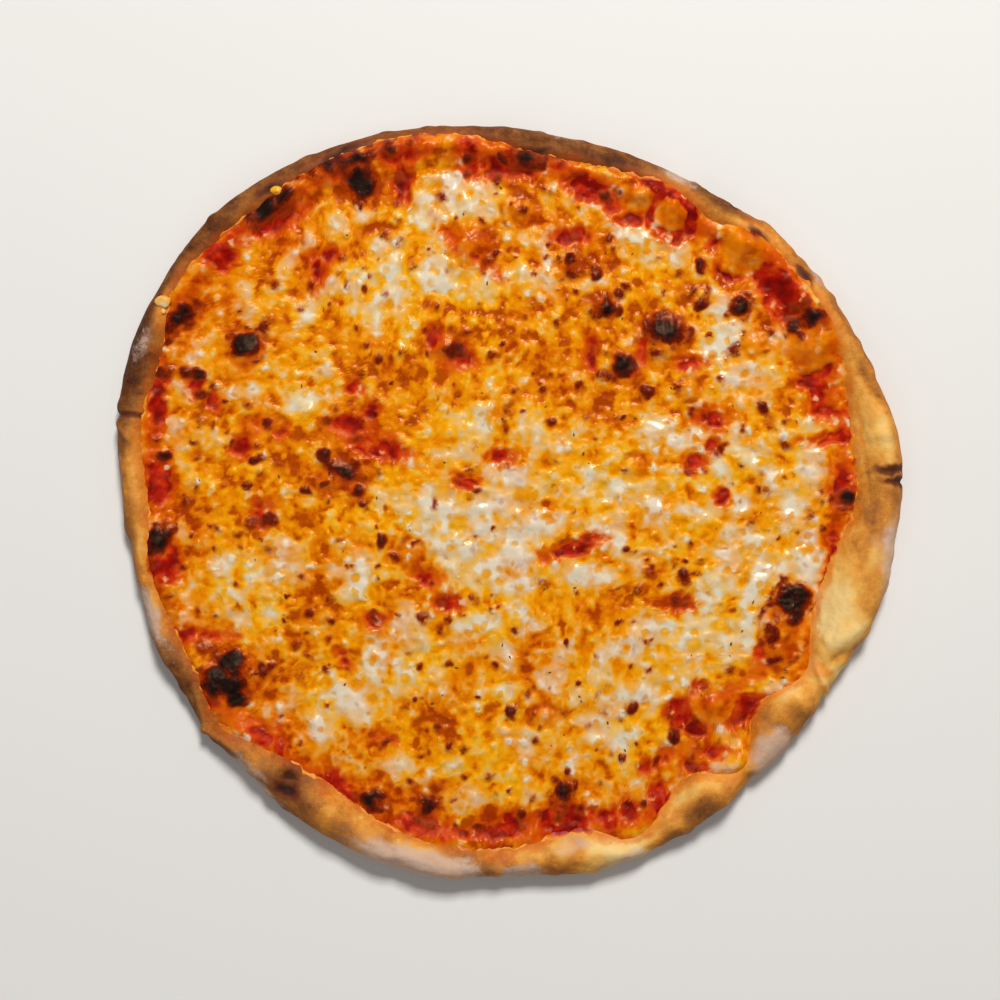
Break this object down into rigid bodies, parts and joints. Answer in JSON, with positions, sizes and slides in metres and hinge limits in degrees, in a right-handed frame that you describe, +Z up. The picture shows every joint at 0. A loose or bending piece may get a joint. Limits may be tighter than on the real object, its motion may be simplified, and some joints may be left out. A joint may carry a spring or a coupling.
{
  "type": "margherita pizza",
  "caption": "Whole uncut margherita pizza with an uneven raised baked rim, tomato sauce showing round the edge, and a melted, blistered and browned cheese layer.",
  "frame": {"origin": "under the middle of the outline, on the plane of the flat underside", "axes": "+Z up out of the toppings; +X along the longer diameter; +Y across it"},
  "size_m": [0.3112, 0.2988, 0.0171],
  "materials": {
    "crust": "baked bread dough, matte, floury, browned in patches",
    "sauce": "cooked tomato sauce, deep red, wet gloss",
    "cheese": "melted mozzarella, cream to oily orange with brown and charred blisters, soft gloss"
  },
  "bodies": {
    "root": {"crust": "crust", "tomato_sauce": "sauce", "melted_cheese": "cheese"}
  },
  "joints": []
}
